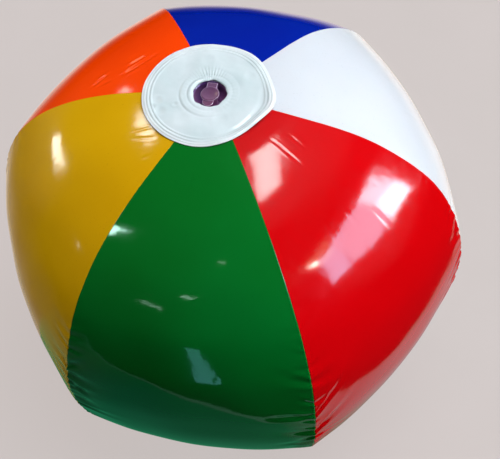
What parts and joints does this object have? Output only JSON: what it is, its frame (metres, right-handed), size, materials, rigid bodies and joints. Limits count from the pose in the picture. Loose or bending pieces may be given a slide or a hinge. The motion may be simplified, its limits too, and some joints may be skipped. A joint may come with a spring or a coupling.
{
  "type": "inflatable beach ball",
  "caption": "Inflatable beach ball of welded vinyl panels with white end discs and a push-in blow valve with a tethered plug and a non-return flap.",
  "frame": {"origin": "the ball's centre, half-way between the end discs", "axes": "+Z out through the valve, -Y through the middle of the green panel, the colours counter-clockwise seen from above: green, red, white, blue, orange, yellow"},
  "size_m": [0.35, 0.328, 0.3134],
  "materials": {
    "film_green": "glossy, slightly translucent",
    "film_red": "glossy, slightly translucent",
    "film_white": "glossy, slightly translucent",
    "film_blue": "glossy, slightly translucent",
    "film_orange": "glossy, slightly translucent",
    "film_yellow": "glossy, slightly translucent",
    "weld_film": "glossy, fused film",
    "disc_film": "glossy, translucent",
    "valve_vinyl": "glossy, clear soft vinyl"
  },
  "bodies": {
    "ball": {"panel_green": "film_green", "panel_red": "film_red", "panel_white": "film_white", "panel_blue": "film_blue", "panel_orange": "film_orange", "panel_yellow": "film_yellow", "seam_weld_green_red": "weld_film", "seam_weld_red_white": "weld_film", "seam_weld_white_blue": "weld_film", "seam_weld_blue_orange": "weld_film", "seam_weld_orange_yellow": "weld_film", "seam_weld_yellow_green": "weld_film", "valve_disc": "disc_film", "base_disc": "disc_film", "valve_flange": "valve_vinyl", "valve_diaphragm": "valve_vinyl"},
    "valve_stem": {"valve_stem": "valve_vinyl", "plug_tether": "valve_vinyl"},
    "valve_plug": {"valve_plug": "valve_vinyl"},
    "check_flap": {"check_flap": "valve_vinyl"}
  },
  "joints": [
    {"name": "stem_slide", "type": "slide", "parent": "ball", "child": "valve_stem", "axis": [0, 0, 1], "range_m": [0, 0.012], "deforming": ["valve_diaphragm"]},
    {"name": "plug_hinge", "type": "hinge", "parent": "valve_stem", "child": "valve_plug", "pos_m": [0, 0.0086, 0.15521], "axis": [-1, 0, 0], "range_deg": [0, 115], "deforming": ["plug_tether"]},
    {"name": "flap_hinge", "type": "hinge", "parent": "valve_stem", "child": "check_flap", "pos_m": [0, -0.0049, 0.13586], "axis": [-1, 0, 0], "range_deg": [0, 50], "stiffness_Nm_per_rad": 0.000008, "springref_deg": -34.38}
  ]
}
